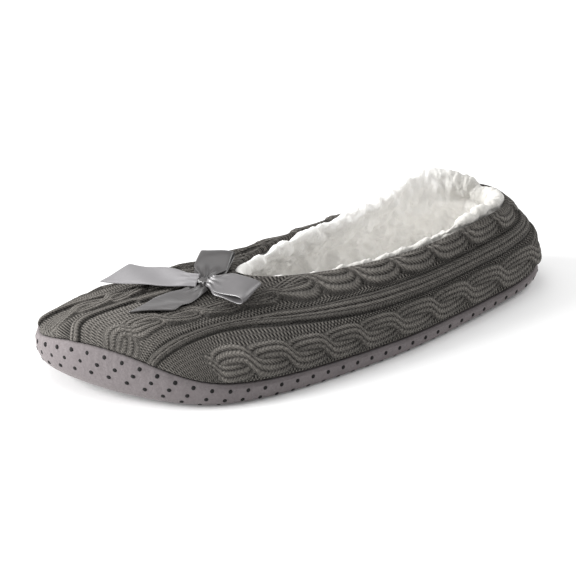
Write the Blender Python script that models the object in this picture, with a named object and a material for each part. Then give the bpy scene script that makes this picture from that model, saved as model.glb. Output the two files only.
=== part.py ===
# Knit slip-on slipper for the left foot: padded cup sole, fleece footbed, cable-knit upper,
# deep fleece lining and a satin ribbon bow on the throat.
# Sizes are millimetres, meshes are metres. +X points to the toe, +Y to the outer side, +Z up.

import bmesh
import bpy
import numpy as np

MM = 0.001
TURN = 2.0 * np.pi

# Driving sizes
LENGTH = 245.0            # heel to toe along the sole seam
MIDDLE = (122.27, 4.98)   # along and across of the point under the shoe's middle
GAP = 0.3                 # play between pieces that meet
KNIT_WALL = 3.0           # thickness of the knit under its raised strips
PILE = 5.5                # depth of the fleece on the lining
CUP_WALL = 3.0            # thickness of the sole's turned-up side
CUP_FLOOR = 3.5           # thickness of the sole underfoot
CUP_FLOOR_INSET = 2.5     # inset of the floor's edge from the bottom edge
CUP_SIDE_DROP = 0.75      # share of its height that the cup's side drops before it turns in
CUP_EDGE_SPREAD = 0.6     # share of its width that the cup's side takes to turn in
FOOTBED = 5.0             # thickness of the footbed in its middle
FOOTBED_TOE_SINK = 0.9    # how far the footbed's edge sinks towards half the cup's depth at the toe
FOOTBED_TOE_RANGE = (190.0, 235.0)
FOOTBED_SPINE = (36.0, 205.0)  # ends of the line that the footbed's rings close on
FOOTBED_TUFTS = 0.6       # share of the tufts' height that shows underfoot
TOE_SPRING = 8.0          # height of the sole's edge at the toe tip
TOE_SPRING_START = 188.0  # where the sole leaves the floor
HEEL_SPRING = 1.5
HEEL_SPRING_END = 25.0

# Sole seam: distance from the heel, outer and inner edge across, height, inset of the bottom edge
SOLE_COLUMNS = ("along", "outer", "inner", "height", "tuck")
SOLE_ROWS = (
    (0.0, -5.0, -5.0, 10.5, 9.0),
    (10.0, 15.0, -24.0, 10.0, 7.0),
    (30.0, 25.0, -30.5, 9.5, 5.5),
    (60.0, 35.5, -34.5, 9.0, 4.0),
    (95.0, 45.5, -37.0, 8.5, 3.0),
    (130.0, 51.5, -40.5, 8.3, 2.5),
    (165.0, 54.5, -43.5, 8.5, 2.5),
    (195.0, 51.0, -44.0, 11.5, 4.5),
    (220.0, 36.0, -38.5, 18.5, 7.5),
    (238.0, 15.0, -25.0, 22.5, 9.5),
    (245.0, -7.5, -7.5, 23.0, 10.5),
)

# Collar edge: distance from the heel, outer and inner edge across, height, stand of the fleece there
COLLAR_COLUMNS = ("along", "outer", "inner", "height", "stand_outer", "stand_inner")
COLLAR_ROWS = (
    (17.0, -4.0, -4.0, 41.0, 3.0, 3.0),
    (24.0, 13.5, -18.0, 41.0, 3.0, 5.0),
    (45.0, 23.0, -27.0, 40.5, 3.0, 6.5),
    (75.0, 26.0, -26.5, 37.5, 3.0, 5.0),
    (110.0, 22.5, -24.0, 35.0, 2.5, 3.5),
    (138.0, 13.0, -16.0, 33.5, 2.0, 2.0),
    (154.0, -3.0, -3.0, 33.5, 1.5, 1.5),
)

# Wall between seam and collar by turn from the heel: its rise and flare at the seam,
# and how far it reaches outward and dips below the collar
WALL_COLUMNS = ("turn", "rise", "flare", "reach", "dip")
WALL_ROWS = (
    (0.0, 14.0, 2.5, 0.40, 10.0),
    (45.0, 15.0, 4.0, 0.30, 10.0),
    (90.0, 15.0, 4.0, 0.35, 9.0),
    (120.0, 14.0, 3.0, 0.40, 8.0),
    (150.0, 11.0, 1.2, 0.38, 4.0),
    (180.0, 12.5, 0.2, 0.50, 3.5),
)

# Knit strips, counted across the vamp from its middle line
STRIP_COLUMNS = ("start", "end", "height", "is_cable")
STRIP_ROWS = (
    (-6.5, 6.5, 1.6, True),
    (7.5, 12.0, 1.1, False),
    (20.0, 33.0, 1.7, True),
    (40.0, 45.0, 1.2, False),
    (51.0, 66.0, 1.8, True),
)
CABLE_LOBE = 18.5         # length of one crossing of a cable
CABLE_SWELL = 0.3         # share of a cable's height that swells and sinks with its crossings
CABLE_SLANT = 0.9         # how far a crossing leans from one edge to the other, in radians
STRIP_SINK = 0.8          # how far the plain knit lies under the wall's outline

# Along the sides the strips keep to levels between the seam (0) and the collar (1)
LEVEL_COLUMNS = ("level", "across")
LEVEL_ROWS = (
    (0.0, 70.0),
    (0.05, 66.0),
    (0.42, 51.0),
    (0.47, 45.0),
    (0.71, 40.0),
    (0.77, 33.0),
    (1.0, 27.0),
)
SIDE_STRIPS_END = np.radians(118.0)   # up to this turn the strips follow the levels
TOE_STRIPS_START = np.radians(145.0)  # from this turn they run straight to the toe
HEEL_WRAP_START = 40.0
HEEL_WRAP_RADIUS = 26.0

# Fleece tufts
TUFT = 11.0               # spacing of the tufts
TUFT_HEIGHT = 1.0
TUFT_BENDS = (1.3, 1.1)   # how far each row of tufts wanders, in radians
TUFT_BEND_RATES = (0.6, 0.55)
TUFT_BEND_START = 1.0
LIP_RISE = 0.6            # share of its stand that the fleece reaches beside the collar edge
LIP_INSET = 0.4           # share of the pile's depth at which the fleece is highest

# Bow: heading from the toe direction towards the outer side, length, rise of the far end, start height,
# tilt across the ribbon in degrees, and how far one corner of a cut end reaches past the other
RIBBON_WIDTH = 14.5
RIBBON_GATHER = 5.5       # width where the ribbon enters the knot
RIBBON_THICK = 0.8
RIBBON_OPENING = 12.0     # distance over which it opens to its full width
BOW_ALONG = 172.0
BOW_ASIDE = -2.5          # from the middle of the sole
KNOT_SIZE = (7.0, 7.4, 5.0)
KNOT_BARREL = 0.6         # the smaller, the straighter the knot's sides
KNOT_FLATTEN = 0.8        # the smaller, the flatter its top
RIBBON_START = 4.2        # distance from the knot's middle at which a ribbon comes out
BOW_COLUMNS = ("heading", "length", "rise", "start", "tilt", "cut")
TAIL_ROWS = {
    "bow_tail_medial": (-43.0, 39.0, 0.0, 3.6, 10.0, 10.0),
    "bow_tail_toe": (19.0, 34.0, -4.0, 1.8, 0.0, -13.5),
}
TAIL_CUT_POWER = 4        # how late along the tail its edges part
LOOP_ROWS = {
    "bow_loop_lateral": (113.0, 25.0, 0.0, 2.5, -12.0, 0.0),
    "bow_loop_medial": (-135.0, 24.0, 4.0, 2.5, 0.0, 0.0),
}
LOOP_BELLY = 7.5          # height of a loop between its two layers
LOOP_NECK = 0.7           # half the distance of the layers at the knot
LOOP_BLUNT = 0.8          # the smaller, the blunter the loop's far end

# Mesh steps
UPPER_STEPS = 128
UPPER_LEVELS = (
    0.0, 0.05, 0.14, 0.235, 0.33, 0.42, 0.445, 0.47, 0.53,
    0.59, 0.65, 0.71, 0.74, 0.77, 0.85, 0.93, 1.0,
)
UPPER_INNER_LEVELS = (1.0, 0.8, 0.6, 0.4, 0.2, 0.05, 0.0)
LINING_STEPS = 64
LINING_OUTER_LEVELS = (0.05, 0.2, 0.4, 0.6, 0.8, 0.97)
LINING_INNER_LEVELS = (0.97, 0.82, 0.66, 0.5, 0.35, 0.21, 0.08)
SOLE_STEPS = 76
CUP_OUTER_SHARES = (1.0, 0.75, 0.5, 0.25, 0.0)
CUP_INNER_SHARES = (0.0, 0.5, 1.0)
FOOTBED_TOP_SHARES = (0.14, 0.36, 0.6, 0.85)
RIBBON_SHARES = (-1.0, -0.35, 0.35, 1.0)
TAIL_STEPS = 10
LOOP_STEPS = 19
KNOT_RINGS = 7
KNOT_STEPS = 16
VAMP_TURNS = np.radians(np.linspace(110.0, 250.0, 281))  # samples that find the vamp's height
VAMP_LEVELS = np.linspace(0.2, 1.0, 121)
SLOPE_STEP = 1e-3         # step for directions along a surface
SHARP_ANGLE = np.radians(50.0)

# Materials: colour, roughness, metallic
FINISHES = {
    "grey_knit": ((0.14, 0.135, 0.125, 1.0), 0.95, 0.0),
    "white_fleece": ((0.83, 0.81, 0.76, 1.0), 1.0, 0.0),
    "sole_suedecloth": ((0.32, 0.29, 0.29, 1.0), 0.9, 0.0),
    "grey_satin": ((0.36, 0.36, 0.36, 1.0), 0.35, 0.0),
}


def column(rows, names, name):
    return np.array([row[names.index(name)] for row in rows], dtype=float)


# Cubic curve through the values, with level ends or with free ends
def spline(knots, values, at, level_ends):
    step = np.diff(knots)
    slope = np.diff(values) / step
    count = len(knots)
    matrix = np.zeros((count, count))
    target = np.zeros(count)
    for i in range(1, count - 1):
        matrix[i, i - 1:i + 2] = step[i - 1], 2.0 * (step[i - 1] + step[i]), step[i]
        target[i] = 6.0 * (slope[i] - slope[i - 1])
    matrix[0, 0] = matrix[-1, -1] = 1.0
    if level_ends:
        matrix[0, :2] = 2.0 * step[0], step[0]
        matrix[-1, -2:] = step[-1], 2.0 * step[-1]
        target[0] = 6.0 * slope[0]
        target[-1] = -6.0 * slope[-1]
    bend = np.linalg.solve(matrix, target)
    i = np.clip(np.searchsorted(knots, at, side="right") - 1, 0, count - 2)
    left = at - knots[i]
    right = knots[i + 1] - at
    curved = (bend[i] * right ** 3 + bend[i + 1] * left ** 3) / (6.0 * step[i])
    straight = (values[i] / step[i] - bend[i] * step[i] / 6.0) * right
    return curved + straight + (values[i + 1] / step[i] - bend[i + 1] * step[i] / 6.0) * left


# A turn of 0 is the back of the heel, half a turn the toe; the first half runs along the outer side
def fold(around):
    around = np.mod(around, TURN)
    outer = around <= np.pi
    return np.where(outer, around, TURN - around), outer


def along_of(rows, turn):
    first, last = rows[0][0], rows[-1][0]
    return first + (last - first) * (1.0 - np.cos(turn)) / 2.0


def by_turn(rows, names, name, turn, level_ends=True):
    along = column(rows, names, "along")
    knots = np.arccos(np.clip(1.0 - 2.0 * (along - along[0]) / (along[-1] - along[0]), -1.0, 1.0))
    return spline(knots, column(rows, names, name), turn, level_ends)


def edge_line(rows, names, around):
    turn, outer = fold(around)
    out_edge = by_turn(rows, names, "outer", turn, level_ends=False)
    in_edge = by_turn(rows, names, "inner", turn, level_ends=False)
    across = np.where(outer, out_edge, in_edge)
    return np.stack([along_of(rows, turn), across, by_turn(rows, names, "height", turn)], axis=-1)


def seam_line(around):
    return edge_line(SOLE_ROWS, SOLE_COLUMNS, around)


def collar_line(around):
    return edge_line(COLLAR_ROWS, COLLAR_COLUMNS, around)


def unit(vectors):
    return vectors / np.maximum(np.linalg.norm(vectors, axis=-1, keepdims=True), 1e-12)


def bezier(a, b, c, d, share):
    s = share[..., None]
    return a * (1 - s) ** 3 + 3 * b * s * (1 - s) ** 2 + 3 * c * s ** 2 * (1 - s) + d * s ** 3


# The upper's outline: at each turn a curve rises from the seam and leans in to the collar
def wall(around, level):
    turn, outer = fold(around)
    knots = np.radians(column(WALL_ROWS, WALL_COLUMNS, "turn"))
    rise, flare, reach, dip = (
        spline(knots, column(WALL_ROWS, WALL_COLUMNS, name), turn, True)[..., None]
        for name in WALL_COLUMNS[1:]
    )
    seam = seam_line(around)
    collar = collar_line(around)
    outward = (seam - collar) * (1.0, 1.0, 0.0)
    up = np.array((0.0, 0.0, 1.0))
    low = seam + unit(outward) * flare + up * rise
    high = collar + outward * reach - up * dip
    return bezier(seam, low, high, collar, level)


def wall_frame(around, level):
    step = SLOPE_STEP
    point = wall(around, level)
    forward = wall(around + step, level) - wall(around - step, level)
    climb = unit(wall(around, level + step) - wall(around, level - step))
    return point, climb, unit(np.cross(climb, forward))


# Plan direction pointing away from the shoe at the seam
def plan_outward(around):
    step = SLOPE_STEP
    forward = seam_line(around + step) - seam_line(around - step)
    return unit(np.stack([-forward[..., 1], forward[..., 0], 0.0 * forward[..., 0]], axis=-1))


def middle_across(along):
    turn = np.arccos(np.clip(1.0 - 2.0 * along / LENGTH, -1.0, 1.0))
    out_edge = by_turn(SOLE_ROWS, SOLE_COLUMNS, "outer", turn, level_ends=False)
    in_edge = by_turn(SOLE_ROWS, SOLE_COLUMNS, "inner", turn, level_ends=False)
    return (out_edge + in_edge) / 2.0


def spring(along):
    toe = np.clip((along - TOE_SPRING_START) / (LENGTH - TOE_SPRING_START), 0.0, 1.0)
    heel = np.clip((HEEL_SPRING_END - along) / HEEL_SPRING_END, 0.0, 1.0)
    return TOE_SPRING * toe ** 2 + HEEL_SPRING * heel ** 2


def smooth_step(start, end, value):
    share = np.clip((value - start) / (end - start), 0.0, 1.0)
    return share * share * (3.0 - 2.0 * share)


# Place of a point across the knit strips: levels along the sides, distance from the middle line on the toe
def strip_place(around, level, point):
    turn, outer = fold(around)
    levels = column(LEVEL_ROWS, LEVEL_COLUMNS, "level")
    beside = np.interp(level, levels, column(LEVEL_ROWS, LEVEL_COLUMNS, "across"))
    throat, tip = COLLAR_ROWS[-1], SOLE_ROWS[-1]
    lean = (tip[1] - throat[1]) / (tip[0] - throat[0])
    ahead = np.abs(point[..., 1] - throat[1] - lean * (point[..., 0] - throat[0]))
    share = smooth_step(SIDE_STRIPS_END, TOE_STRIPS_START, turn)
    return beside + (ahead - beside) * share


# Length along a strip: straight along the foot, and round a circle at the heel
def strip_length(point):
    back = HEEL_WRAP_START - point[..., 0]
    beside = np.abs(point[..., 1] - middle_across(point[..., 0]))
    return np.where(back > 0.0, -HEEL_WRAP_RADIUS * np.arctan2(back, beside), -back)


# Height of the raised strips over the plain knit
def strip_height(around, level, point):
    place = strip_place(around, level, point)
    length = strip_length(point)
    height = np.zeros_like(place)
    for start, end, top, is_cable in STRIP_ROWS:
        across = (place - (start + end) / 2.0) / ((end - start) / 2.0)
        crown = np.sqrt(np.clip(1.0 - across ** 2, 0.0, 1.0))
        crossing = np.cos(TURN * length / CABLE_LOBE + CABLE_SLANT * across)
        swell = 1.0 - CABLE_SWELL * (1.0 - crossing) / 2.0 if is_cable else 1.0
        height = np.maximum(height, top * crown * swell)
    seam_fade = smooth_step(0.0, UPPER_LEVELS[1], level)
    collar_fade = 1.0 - smooth_step(UPPER_LEVELS[-2], 1.0, level)
    return (height - STRIP_SINK) * seam_fade * collar_fade


# Uneven fleece surface: two crossed waves, each bent by the other
def tufts(along, across):
    a = TURN * along / TUFT
    b = TURN * across / TUFT
    bent_along = a + TUFT_BENDS[0] * np.cos(TUFT_BEND_RATES[0] * b)
    bent_across = b + TUFT_BENDS[1] * np.cos(TUFT_BEND_RATES[1] * a + TUFT_BEND_START)
    return np.cos(bent_along) * np.cos(bent_across)


def around_steps(count):
    return np.arange(count) * TURN / count


# Faces between neighbouring rings, each ring closed on itself
def ring_faces(ring_count, steps, first=0):
    faces = []
    for ring in range(ring_count - 1):
        for i in range(steps):
            j = (i + 1) % steps
            a = first + ring * steps
            b = a + steps
            faces.append((a + i, a + j, b + j, b + i))
    return faces


# Faces that close a ring by joining its outer half to its inner half
def cap_faces(steps, first):
    faces = [(first, first + 1, first + steps - 1)]
    for i in range(1, steps // 2 - 1):
        faces.append((first + i, first + i + 1, first + steps - i - 1, first + steps - i))
    half = steps // 2
    faces.append((first + half - 1, first + half, first + half + 1))
    return faces


def make_finish(name):
    colour, roughness, metallic = FINISHES[name]
    finish = bpy.data.materials.new(name)
    finish.use_nodes = True
    shader = finish.node_tree.nodes["Principled BSDF"]
    shader.inputs["Base Color"].default_value = colour
    shader.inputs["Roughness"].default_value = roughness
    shader.inputs["Metallic"].default_value = metallic
    finish.diffuse_color = colour
    return finish


def make_piece(name, points, faces, finish):
    mesh = bpy.data.meshes.new(name)
    placed = (np.asarray(points) - (*MIDDLE, 0.0)) * MM
    mesh.from_pydata(placed.tolist(), [], faces)
    shell = bmesh.new()
    shell.from_mesh(mesh)
    bmesh.ops.recalc_face_normals(shell, faces=shell.faces)
    shell.to_mesh(mesh)
    shell.free()
    mesh.shade_smooth()
    mesh.set_sharp_from_angle(angle=SHARP_ANGLE)
    mesh.materials.append(finish)
    piece = bpy.data.objects.new(name, mesh)
    bpy.context.scene.collection.objects.link(piece)
    return piece


# Profile of the cup from the seam down and in to the bottom edge, moved in by an inset
def cup_side(around, share, inset, edge_inset, floor):
    seam = seam_line(around)
    turn, outer = fold(around)
    tuck = by_turn(SOLE_ROWS, SOLE_COLUMNS, "tuck", turn)
    out = plan_outward(around)
    up = np.array((0.0, 0.0, 1.0))
    top = seam - out * inset - up * GAP / 2.0
    low = seam - out * (tuck + edge_inset)[..., None]
    low[..., 2] = spring(low[..., 0]) + floor
    drop = (top - low)[..., 2:3]
    spread = (top - low) * (1.0, 1.0, 0.0)
    return bezier(top, top - up * drop * CUP_SIDE_DROP, low + spread * CUP_EDGE_SPREAD, low, share)


def cup_rings(around, shares, inset, edge_inset, floor):
    return [cup_side(around, np.full(len(around), share), inset, edge_inset, floor) for share in shares]


def make_sole(finish):
    around = around_steps(SOLE_STEPS)
    rings = cup_rings(around, CUP_OUTER_SHARES, 0.0, 0.0, 0.0)
    rings += cup_rings(around, CUP_INNER_SHARES, CUP_WALL, CUP_FLOOR_INSET, CUP_FLOOR)
    faces = ring_faces(len(rings), SOLE_STEPS)
    faces += cap_faces(SOLE_STEPS, 0)
    faces += cap_faces(SOLE_STEPS, (len(rings) - 1) * SOLE_STEPS)
    return make_piece("sole", np.concatenate(rings), faces, finish)


def make_footbed(finish):
    around = around_steps(SOLE_STEPS)
    floor = CUP_FLOOR + GAP
    rings = cup_rings(around, CUP_INNER_SHARES[::-1], CUP_WALL + GAP, CUP_FLOOR_INSET + GAP, floor)
    sunk = FOOTBED_TOE_SINK * smooth_step(*FOOTBED_TOE_RANGE, rings[-1][:, 0])
    rings[-1] += (rings[-2] - rings[-1]) * sunk[:, None]
    edge = rings[-1]
    spine_along = np.clip(edge[:, 0], *FOOTBED_SPINE)
    spine_height = spring(spine_along) + floor + FOOTBED
    spine = np.stack([spine_along, middle_across(spine_along), spine_height], axis=-1)
    for share in FOOTBED_TOP_SHARES:
        ring = edge + (spine - edge) * share
        dish = 1.0 - (1.0 - share) ** 2
        level = spring(ring[:, 0]) + floor + FOOTBED
        tuft = TUFT_HEIGHT * FOOTBED_TUFTS * tufts(ring[:, 0], ring[:, 1])
        ring[:, 2] = edge[:, 2] + (level - edge[:, 2] + tuft) * dish
        rings.append(ring)
    faces = ring_faces(len(rings), SOLE_STEPS)
    faces += cap_faces(SOLE_STEPS, 0)
    faces += cap_faces(SOLE_STEPS, (len(rings) - 1) * SOLE_STEPS)
    return make_piece("footbed", np.concatenate(rings), faces, finish)


def close_rings(rings, steps):
    faces = ring_faces(len(rings), steps)
    last = (len(rings) - 1) * steps
    for i in range(steps):
        j = (i + 1) % steps
        faces.append((last + i, last + j, j, i))
    return faces


def knit_surface(around, level):
    point, climb, out = wall_frame(around, level)
    return point + out * strip_height(around, level, point)[..., None]


def make_upper(finish):
    around = around_steps(UPPER_STEPS)
    lift = np.array((0.0, 0.0, GAP / 2.0))
    rings = [knit_surface(around, np.full(UPPER_STEPS, level)) for level in UPPER_LEVELS]
    rings[0] = rings[0] + lift
    edge, climb, out = wall_frame(around, np.ones(UPPER_STEPS))
    rings.append(edge + (climb - out) * KNIT_WALL / 2.0)
    for level in UPPER_INNER_LEVELS:
        point, climb, out = wall_frame(around, np.full(UPPER_STEPS, level))
        rings.append(point - out * KNIT_WALL)
    rings[-1] = rings[-1] + lift
    return make_piece("upper", np.concatenate(rings), close_rings(rings, UPPER_STEPS), finish)


def fleece_stand(around):
    turn, outer = fold(around)
    beside = by_turn(COLLAR_ROWS, COLLAR_COLUMNS, "stand_outer", turn)
    inside = by_turn(COLLAR_ROWS, COLLAR_COLUMNS, "stand_inner", turn)
    return np.where(outer, beside, inside)


def make_lining(finish):
    around = around_steps(LINING_STEPS)
    rings = []
    for level in LINING_OUTER_LEVELS:
        point, climb, out = wall_frame(around, np.full(LINING_STEPS, level))
        rings.append(point - out * (KNIT_WALL + GAP))
    edge, climb, out = wall_frame(around, np.ones(LINING_STEPS))
    stand = fleece_stand(around)[:, None]
    ripple = TUFT_HEIGHT * tufts(edge[:, 0], edge[:, 1])[:, None]
    rings.append(edge - out * (KNIT_WALL + GAP) + climb * stand * LIP_RISE)
    rings.append(edge - out * (KNIT_WALL + GAP + PILE * LIP_INSET) + climb * (stand + ripple))
    for level in LINING_INNER_LEVELS:
        point, climb, out = wall_frame(around, np.full(LINING_STEPS, level))
        pile = PILE + TUFT_HEIGHT * tufts(point[:, 0] + point[:, 2], point[:, 1] + point[:, 2])
        rings.append(point - out * (KNIT_WALL + GAP + pile[:, None]))
    return make_piece("fleece_lining", np.concatenate(rings), close_rings(rings, LINING_STEPS), finish)


# Height of the knit under a place on the vamp: the nearest of many points of its surface
def vamp_height(place):
    around, level = np.meshgrid(VAMP_TURNS, VAMP_LEVELS)
    surface = knit_surface(around, level).reshape(-1, 3)
    far = ((surface[None, :, :2] - np.asarray(place)[:, None, :2]) ** 2).sum(axis=-1)
    return surface[far.argmin(axis=1), 2]


# Rings of the knot, a flattened barrel standing on the place where it is tied
def knot_rings():
    lean = np.linspace(-np.pi / 2.0, np.pi / 2.0, KNOT_RINGS + 2)[1:-1]
    around = around_steps(KNOT_STEPS)
    half = np.array(KNOT_SIZE) / 2.0
    rings = []
    for angle in lean:
        wide = np.cos(angle) ** KNOT_BARREL
        high = 1.0 + np.sign(angle) * np.abs(np.sin(angle)) ** KNOT_FLATTEN
        ring = np.stack([wide * np.cos(around), wide * np.sin(around), np.full(KNOT_STEPS, high)], axis=-1)
        rings.append(ring * half)
    return np.concatenate(rings)


# Where the bow is tied: as low as the knot can lie on the knit
def bow_base():
    across = middle_across(np.array([BOW_ALONG]))[0] + BOW_ASIDE
    knot = knot_rings() + (BOW_ALONG, across, 0.0)
    lift = np.max(vamp_height(knot) - knot[:, 2]) + GAP
    return np.array((BOW_ALONG, across, lift))


# Flat band along a path: a row of points across its upper face and one across its lower face at each step
def make_ribbon(name, path, side, width, slant, finish):
    shares = np.array(RIBBON_SHARES)
    forward = unit(np.gradient(path, axis=0))
    normal = unit(np.cross(forward, side))
    reach = side[:, None, :] * (shares[None, :, None] * width[:, None, None] / 2.0)
    shift = forward[:, None, :] * (shares[None, :, None] * slant[:, None, None] / 2.0)
    middle = path[:, None, :] + reach + shift
    top = middle + normal[:, None, :] * RIBBON_THICK / 2.0
    bottom = middle - normal[:, None, :] * RIBBON_THICK / 2.0
    rings = np.concatenate([top, bottom[:, ::-1]], axis=1)
    steps = rings.shape[1]
    faces = ring_faces(len(rings), steps)
    last = (len(rings) - 1) * steps
    half = steps // 2
    for i in range(half - 1):
        faces.append((i, i + 1, steps - 2 - i, steps - 1 - i))
        faces.append((last + steps - 1 - i, last + steps - 2 - i, last + i + 1, last + i))
    return make_piece(name, rings.reshape(-1, 3), faces, finish)


def ribbon_width(distance):
    opened = smooth_step(RIBBON_START, RIBBON_START + RIBBON_OPENING, distance)
    return RIBBON_GATHER + (RIBBON_WIDTH - RIBBON_GATHER) * opened


# Directions along and across a ribbon, the second one tilted down by the tilt
def ribbon_axes(heading, tilt):
    turn = np.radians(heading)
    lean = np.radians(tilt)
    ahead = np.array((np.cos(turn), np.sin(turn), 0.0))
    side = np.array((-np.sin(turn) * np.cos(lean), np.cos(turn) * np.cos(lean), -np.sin(lean)))
    return ahead, side


# Lowest height at which a ribbon clears the knit, from its middle line and the way to its edge
def ribbon_ground(path, edge):
    lines = [path + edge * share for share in RIBBON_SHARES]
    heights = [vamp_height(line) + path[:, 2] - line[:, 2] for line in lines]
    return np.max(heights, axis=0) + GAP + RIBBON_THICK


def make_tail(name, base, finish):
    heading, length, rise, start, tilt, cut = TAIL_ROWS[name]
    ahead, side = ribbon_axes(heading, tilt)
    distance = np.linspace(RIBBON_START, length, TAIL_STEPS)
    share = (distance - RIBBON_START) / (length - RIBBON_START)
    path = base + ahead * distance[:, None]
    width = ribbon_width(distance)
    slant = cut * share ** TAIL_CUT_POWER
    ground = ribbon_ground(path, (side * width[:, None] + ahead * slant[:, None]) / 2.0)
    path[:, 2] = np.maximum(base[2] + start + rise * share, ground)
    return make_ribbon(name, path, np.tile(side, (len(path), 1)), width, slant, finish)


def make_loop(name, base, finish):
    heading, length, rise, start, tilt, cut = LOOP_ROWS[name]
    ahead, side = ribbon_axes(heading, tilt)
    turn = np.linspace(0.0, np.pi, LOOP_STEPS)
    spread = (1.0 - np.cos(2.0 * turn)) / 2.0
    distance = RIBBON_START + (length - RIBBON_START) * np.sin(turn) ** LOOP_BLUNT
    lift = -np.cos(turn) * (LOOP_NECK + LOOP_BELLY / 2.0 * spread)
    path = base + ahead * distance[:, None]
    share = (distance - RIBBON_START) / (length - RIBBON_START)
    path[:, 2] = base[2] + start + rise * share + lift
    width = ribbon_width(distance)
    ground = ribbon_ground(path, side * width[:, None] / 2.0)
    path[:, 2] += np.max(np.clip(ground - path[:, 2], 0.0, None))
    return make_ribbon(name, path, np.tile(side, (len(path), 1)), width, cut * share, finish)


def make_knot(base, finish):
    faces = ring_faces(KNOT_RINGS, KNOT_STEPS)
    faces += cap_faces(KNOT_STEPS, 0)
    faces += cap_faces(KNOT_STEPS, (KNOT_RINGS - 1) * KNOT_STEPS)
    return make_piece("bow_knot", knot_rings() + base, faces, finish)


def main():
    for old in list(bpy.data.objects):
        bpy.data.objects.remove(old, do_unlink=True)
    finishes = {name: make_finish(name) for name in FINISHES}
    make_sole(finishes["sole_suedecloth"])
    make_footbed(finishes["white_fleece"])
    make_upper(finishes["grey_knit"])
    make_lining(finishes["white_fleece"])
    base = bow_base()
    make_knot(base, finishes["grey_satin"])
    for name in TAIL_ROWS:
        make_tail(name, base, finishes["grey_satin"])
    for name in LOOP_ROWS:
        make_loop(name, base, finishes["grey_satin"])


main()
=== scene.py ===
import bmesh
import bpy
import numpy as np
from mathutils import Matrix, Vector


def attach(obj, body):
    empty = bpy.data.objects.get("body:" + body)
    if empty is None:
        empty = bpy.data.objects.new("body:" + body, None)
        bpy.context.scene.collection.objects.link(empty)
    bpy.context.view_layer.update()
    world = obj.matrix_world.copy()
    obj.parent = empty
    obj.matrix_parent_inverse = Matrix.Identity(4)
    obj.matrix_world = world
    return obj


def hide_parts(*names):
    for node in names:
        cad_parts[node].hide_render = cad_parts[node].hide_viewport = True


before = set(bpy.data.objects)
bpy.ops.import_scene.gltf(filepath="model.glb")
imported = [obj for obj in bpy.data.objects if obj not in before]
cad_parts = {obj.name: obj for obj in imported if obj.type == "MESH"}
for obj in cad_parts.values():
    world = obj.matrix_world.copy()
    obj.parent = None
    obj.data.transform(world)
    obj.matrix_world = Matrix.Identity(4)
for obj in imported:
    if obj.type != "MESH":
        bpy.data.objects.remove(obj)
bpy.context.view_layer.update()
rng = np.random.default_rng(1113)
mm = 0.001
fullTurn = 2 * np.pi
upward = np.array((0.0, 0.0, 1.0))
print("frame loaded:", len(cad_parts), "solids")

# outline of the shoe in millimetres, read along from the back of the heel to the toe tip
shoe = {
    "length": 245.0,
    "middle": (122.27, 4.98, 0.0),
    "gap": 0.3,
    "seam": {
        "along": (0, 10, 30, 60, 95, 130, 165, 195, 220, 238, 245),
        "outer": (-5, 15, 25, 35.5, 45.5, 51.5, 54.5, 51, 36, 15, -7.5),
        "inner": (-5, -24, -30.5, -34.5, -37, -40.5, -43.5, -44, -38.5, -25, -7.5),
        "height": (10.5, 10, 9.5, 9, 8.5, 8.3, 8.5, 11.5, 18.5, 22.5, 23),
        "tuck": (12, 9.5, 7.5, 5, 3.3, 2.5, 2.5, 4.5, 7.5, 9.5, 10.5),
    },
    "collar": {
        "along": (17, 24, 45, 75, 110, 138, 154),
        "outer": (-4, 13.5, 23, 26, 22.5, 13, -3),
        "inner": (-4, -18, -27, -26.5, -24, -16, -3),
        "height": (41, 41, 40.5, 37.5, 35, 33.5, 33.5),
        "standOuter": (3.5, 4, 4.5, 5.5, 6, 4.5, 2),
        "standInner": (3.5, 5.5, 9, 10.5, 10.5, 7.5, 2),
    },
    "wall": {
        "turn": (0, 45, 90, 120, 150, 180),
        "rise": (14, 15, 15, 14, 11, 12.5),
        "flare": (2.5, 4, 4, 3, 1.2, 0.2),
        "reach": (0.40, 0.30, 0.35, 0.40, 0.38, 0.50),
        "dip": (10, 10, 9, 8, 4, 3.5),
    },
    # the seam is lower at the heel and wavers round the toe, whose inner side has a lower wall
    "waver": {
        "turn": (0, 40, 75, 105, 120, 130, 140, 150, 165, 180, 190, 205, 225, 255, 285, 320, 360),
        "lift": (
            -2.8, -2.8, -1.6, -0.3, 0, -1.2, 1.0, 3.3, 2.7, -0.8, -3, -2.5, 0, -0.3, -1.6, -2.8, -2.8,
        ),
        "drop": (-2.8, -2.8, -1.6, -0.3, 0, 0, 0, 0, 0, 2, 4.5, 5, 3, 0, -1.6, -2.8, -2.8),
    },
    "toeSpring": (8.0, 188.0),  # rise of the sole and where it starts
    "heelSpring": (1.5, 25.0),
    "cupPull": (0.75, 0.6),  # how far the cup's side goes straight down, and out from its bottom
}


# vectors divided by their own length
def unit(vectors):
    return vectors / np.maximum(np.linalg.norm(vectors, axis=-1, keepdims=True), 1e-12)


# 0 below the start, 1 above the end, an S-shaped cubic between
def smoothStep(start, end, value):
    share = np.clip((value - start) / (end - start), 0, 1)
    return share * share * (3 - 2 * share)


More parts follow.
